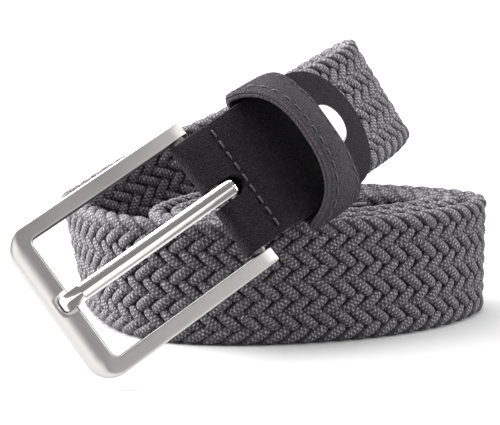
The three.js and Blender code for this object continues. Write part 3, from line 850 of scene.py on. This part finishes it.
def frame_path():
    """Half of the way round, as share of the arm, angle of the corner in degrees and share of the
    half front bar; and how far each row is drawn in all round to break the arm's end. The arm is
    about 50 mm long. The rows lie closer from 72 % of the half bar on, where the seat is."""
    breaking = np.radians(np.linspace(0, 90, 5))
    drawn = FRAME["end_break"] * (1 - np.sin(breaking))
    near = FRAME["end_break"] * (1 - np.cos(breaking)) / 50
    arm = np.concatenate([near, np.linspace(near[-1], 1, 16)[1:]])
    corner = np.linspace(0, 90, 22)[1:]
    bar = np.concatenate([np.linspace(0, 0.72, 10)[1:], np.linspace(0.72, 1, 22)[1:]])
    rows = [(a, 0, 0) for a in arm] + [(1, c, 0) for c in corner] + [(1, 90, b) for b in bar]
    return np.array(rows, float), np.concatenate([drawn, np.zeros(len(rows) - len(drawn))])


def outline_at(rows, x_front, half, radius, inset):
    """A rounded outline moved inset into the metal: lines at half and x_front, joined by a
    quarter circle. The inset is negative on the inner outline, where the metal lies outside."""
    arm, corner, bar = rows[:, :1], np.radians(rows[:, 1:2]), rows[:, 2:]
    turn_x, turn_y = x_front + radius, half - radius
    x = FRAME["end"] + (turn_x - FRAME["end"]) * arm - (radius - inset) * np.sin(corner)
    y = turn_y * (1 - bar) + (radius - inset) * np.cos(corner)
    return np.stack(np.broadcast_arrays(x, y), -1)


def frame_rings():
    """Outside, the top edge is a quarter ellipse, which grows from the arms to the front bar. All
    other edges are small quarter circles. The columns are the outer top edge, 9 points, the top,
    10 points, then the inner top, inner bottom and outer bottom edge, with 5 points each."""
    rows, drawn = frame_path()
    drawn = drawn[:, None]
    depth = FRAME["half_depth"] - drawn
    toward_bar = smooth(rows[:, 1:2], 0, 90)
    q = np.linspace(0, np.pi / 2, 9)[None, :]
    rim = np.linspace(0, np.pi / 2, 5)[None, :]
    outer = {"x_front": FRAME["end"] - FRAME["length"], "half": FRAME["half"],
             "radius": FRAME["outer_radius"]}
    inner = {"x_front": outer["x_front"] + FRAME["front_bar"], "half": FRAME["half"] - FRAME["arm"],
             "radius": FRAME["inner_radius"]}
    wide, high, small = (np.maximum(round_over - drawn, 0.04) for round_over in (
        OUTER_EDGE["wide"] + OUTER_EDGE["wider"] * toward_bar,
        OUTER_EDGE["high"] + OUTER_EDGE["higher"] * toward_bar, SMALL_EDGE))
    parts = [
        (outer, drawn + wide * (1 - np.cos(q)), depth - high * (1 - np.sin(q))),
        (inner, -drawn - small * (1 - np.sin(rim)), depth - small * (1 - np.cos(rim))),
        (inner, -drawn - small * (1 - np.cos(rim)), small * (1 - np.sin(rim)) - depth),
        (outer, drawn + small * (1 - np.sin(rim)), small * (1 - np.cos(rim)) - depth),
    ]
    placed = [(outline_at(rows, **line, inset=inset), z + 0 * inset) for line, inset, z in parts]
    share = np.linspace(0, 1, 12)[None, 1:-1, None]
    top_start, top_end = placed[0][0][:, -1:], placed[1][0][:, :1]
    top = (top_start + (top_end - top_start) * share, np.repeat(depth, share.shape[1], 1))
    order = [placed[0], top, *placed[1:]]
    plane = np.concatenate([p[0] for p in order], 1)
    z = np.concatenate([np.broadcast_to(p[1], p[0].shape[:2]) for p in order], 1)
    return np.concatenate([plane, z[..., None]], -1)


# %% Frame casting and bar
half_way = frame_rings()
mirrored = half_way[-2::-1] * [1, -1, 1]
local = np.concatenate([half_way, mirrored])
axis_height = FRAME["half_depth"] + SEAT["radius"] - SEAT["depth"]
seat_floor = axis_height - np.sqrt(np.clip(SEAT["radius"] ** 2 - local[..., 1] ** 2, 0, None))
behind_rim = local[..., 0] > FRAME["end"] - FRAME["length"] + SEAT["setback"]
on_front_bar = local[..., 0] < -FRAME["length"] / 2
in_seat = behind_rim & on_front_bar & (np.abs(local[..., 1]) < SEAT["half"]) & (local[..., 2] > 0)
local[..., 2] = np.where(in_seat, np.minimum(local[..., 2], seat_floor), local[..., 2])
bar_centre, _, buckle_across, _ = (v[0] for v in directions(np.zeros(1)))
# From the front bar to the round bar, before it is squared to the belt's own direction across
ARM_WAY = np.array([0.767, 0.426, 0.48])
arm_way = unit(ARM_WAY - buckle_across * (ARM_WAY @ buckle_across))
BUCKLE = np.stack([arm_way, buckle_across, np.cross(arm_way, buckle_across)])
points = bar_centre + local @ BUCKLE
# Painted shade: points on the frame's inner wall carry the inner mark, which darkens the nickel there.
inner = np.zeros(points.shape[1])
inner[INNER_WALL] = [0.5] + 8 * [1]
gone = travelled_along(points.mean(1))
casting = tube_piece("frame_casting", points[None], gone, marks={"inner": inner})
dress(casting, SATIN, "buckle", "satin_nickel", "buckle_frame")
q = np.linspace(0, 2 * np.pi, 32, endpoint=False)[None]
across_bar = np.linspace(-BAR["half_length"], BAR["half_length"], 20)
local = np.stack(np.broadcast_arrays(
    BAR["radius"] * np.cos(q), across_bar[:, None], BAR["radius"] * np.sin(q)), -1)
bar = tube_piece("frame_bar", (bar_centre + local @ BUCKLE)[None], across_bar)
dress(bar, SHADED, "buckle", "satin_nickel", "buckle_frame")
print("frame", FRAME["length"], "by", 2 * FRAME["half"], "mm,", len(casting.data.polygons), "faces")

# %% [markdown]
# ## The prong
# A polished bar with a ridge along its middle. Seen from the end its top is a roof whose sides
# bulge a little, so each side mirrors a strip of the room. Its tip is rounded in plan, and a long
# facet slopes down into the seat there. Its head ends square over the eye, with its edges broken.

# %% Prong
EYE = {"inner": 1.9, "outer": 3.0, "half_width": 2.1, "edge_break": 0.15}
# x along the arms, height of the underside, of the side's upper edge and of the ridge, half width
PRONG_ROWS = np.array([
    [-51.0, 1.60, 1.80, 1.90, 1.10],
    [-50.8, 1.50, 1.95, 2.15, 1.60],
    [-50.3, 1.40, 2.12, 2.38, 1.95],
    [-49.4, 1.32, 2.34, 2.62, 2.12],
    [-45.2, 1.30, 2.76, 3.56, 2.18],
    [-35.0, 1.30, 2.80, 3.66, 2.20],
    [-12.0, 1.30, 2.90, 3.78, 2.15],
    [-4.0, 1.50, 3.00, 3.85, 2.10],
    [3.2, 1.95, 3.00, 3.85, 2.10],
    [3.9, 2.00, 2.90, 3.70, 2.05],
    [4.2, 2.15, 2.65, 3.35, 1.90],
])
ROOF = {"straight": 0.16, "bulge": 0.15, "drop": 0.76}
tip_rows, blade_rows, head_rows = (-51.0, -45.2, 30), (-44.9, 3.0, 58), (3.2, 4.2, 8)
place = np.concatenate([np.linspace(*rows) for rows in (tip_rows, blade_rows, head_rows)])
under, side, ridge, wide = (
    np.interp(place, PRONG_ROWS[:, 0], column)[:, None] for column in PRONG_ROWS[:, 1:].T)
share = np.linspace(1, -1, 25)[None, :]
fall = ROOF["straight"] * np.abs(share) + ROOF["bulge"] * share**2
fall = ROOF["drop"] * fall / fall.max()
floor_y = wide * np.linspace(-0.9, 0.9, 7)[None, :]
section_y = np.concatenate([wide * share, floor_y], 1)
section_z = np.concatenate([ridge - (ridge - side) * fall, under + 0 * floor_y], 1)
local = np.stack([place[:, None] + 0 * section_y, section_y, section_z], -1)
blade = tube_piece("prong_blade", (bar_centre + local @ BUCKLE)[None], place - place[0])
dress(blade, POLISHED, "prong", "polished_nickel", "buckle_prong")
q = np.linspace(0, 2 * np.pi, 48, endpoint=False)[:, None]
rim = EYE["outer"] - EYE["edge_break"]
ring_radius = np.array([EYE["inner"], rim, EYE["outer"], EYE["outer"], rim, EYE["inner"]])
ring_y = EYE["half_width"] * np.array([-1.0, -1.0, -0.92, 0.92, 1.0, 1.0])
local = np.stack([np.cos(q) * ring_radius, ring_y + 0 * q, np.sin(q) * ring_radius], -1)
gone = np.arange(len(q) + 1) * 0.4
eye = tube_piece("prong_eye", (bar_centre + local @ BUCKLE)[None], gone, wrap_rows=True)
dress(eye, SHADED, "prong", "polished_nickel", "buckle_prong")
print("prong", round(place[-1] - place[0], 1), "mm long")

# %% [markdown]
# ## The cap
# A low dome on a thin rim, turned on its axis. The dome is a quarter of an ellipse. The profile
# starts and ends 0.02 mm from the axis, so that its small end faces stay real faces.

# %% Cap
CAP = {"radius": 6.2, "dome": 1.0, "rim": 0.6, "station": 37.4}
steps = np.linspace(0, np.pi / 2, 17)
radius = np.concatenate([[0.02, CAP["radius"] - 0.35, CAP["radius"] - 0.1, CAP["radius"]],
                         CAP["radius"] * np.cos(steps[:-1]), [0.02]])[:, None, None]
lift = GAP + np.concatenate([[0, 0, 0.06, 0.25], CAP["rim"] + CAP["dome"] * np.sin(steps)])
centre, along, sideways, outward = (v[0] for v in directions(np.array([CAP["station"]])))
seat = centre + outward * (leaf_height(CAP["station"]) + LEATHER_FACTS["thickness"] / 2)
q = np.linspace(0, 2 * np.pi, 96, endpoint=False)[None, :, None]
ring = radius * (np.cos(q) * along + np.sin(q) * sideways)
points = seat + ring + lift[:, None, None] * outward
cap = tube_piece("domed_cap", points[None], lift)
dress(cap, POLISHED, "belt", "polished_nickel", "snap_cap")
print("cap", 2 * CAP["radius"], "mm across")

# %% [markdown]
# ## Floor and light
# The floor is a large pale sheet. Near the belt the lights make it white. Further back they no
# longer reach it, so it glows there, and it runs into white up to the picture's top.
# Strong soft light from the left makes the cords' relief, another softbox hangs overhead, two
# weaker ones stand at the right, and a dim sky fills the shadows. Three weak cards in front light
# little themselves: the metal mirrors them, which draws its soft white bands.

# %% Floor
floor_recipe = Recipe("pale_sweep")
back = floor_recipe.node("ShaderNodeSeparateXYZ", {}, {0: floor_recipe.object_place()}, 1)
glow = floor_recipe.between(back, 0.05, 0.6)
PALE = floor_recipe.shade({
    "Base Color": (0.4, 0.4, 0.4, 1),
    "Roughness": 0.9,
    "Specular IOR Level": 0.1,
    "Emission Color": floor_recipe.mix(glow, (0, 0, 0, 1), (1, 1, 1, 1)),
    "Emission Strength": 1.0,
})
mesh = bpy.data.meshes.new("floor")
mesh.from_pydata([(-6, -2, 0), (6, -2, 0), (6, 9, 0), (-6, 9, 0)], [], [(0, 1, 2, 3)])
floor = bpy.data.objects.new("floor", mesh)
floor.data.materials.append(PALE)
bpy.context.scene.collection.objects.link(floor)


# %% Lights
def softbox(name, place, target, size, watts):
    """A square area light at place, turned so that its -Z axis points at target."""
    light = bpy.data.lights.new(name, "AREA")
    light.shape, light.size, light.energy = "SQUARE", size, watts
    lamp = bpy.data.objects.new(name, light)
    lamp.location = place
    lamp.rotation_euler = (Vector(target) - Vector(place)).to_track_quat("-Z", "Y").to_euler()
    bpy.context.scene.collection.objects.link(lamp)


# name, place in metres, target, size in metres, watts
for lamp_row in [
    ("key_left", (-0.72, 0.14, 0.34), (-0.02, 0, 0.03), 0.65, 27),
    ("overhead", (-0.12, 0.13, 0.85), (0, 0, 0), 0.86, 17),
    ("right", (0.72, -0.1, 0.36), (0.02, 0, 0.05), 0.4, 5.5),
    ("right_behind", (0.66, 0.26, 0.47), (0.02, 0, 0.05), 0.7, 3),
    ("front_card", (-0.25, -0.69, 0.2), (-0.02, 0, 0.04), 0.44, 1.0),
    ("right_card", (0.57, -0.53, 0.66), (-0.02, 0, 0.04), 0.28, 0.95),
    ("low_card", (0.5, -0.84, 0.26), (-0.02, 0, 0.04), 0.4, 0.5),
]:
    softbox(*lamp_row)
sky = bpy.data.worlds.new("dim_sky")
sky.use_nodes = True
background = sky.node_tree.nodes["Background"]
background.inputs["Color"].default_value = (1, 1, 1, 1)
background.inputs["Strength"].default_value = 0.25
bpy.context.scene.world = sky
bpy.context.scene.view_settings.view_transform = "Standard"
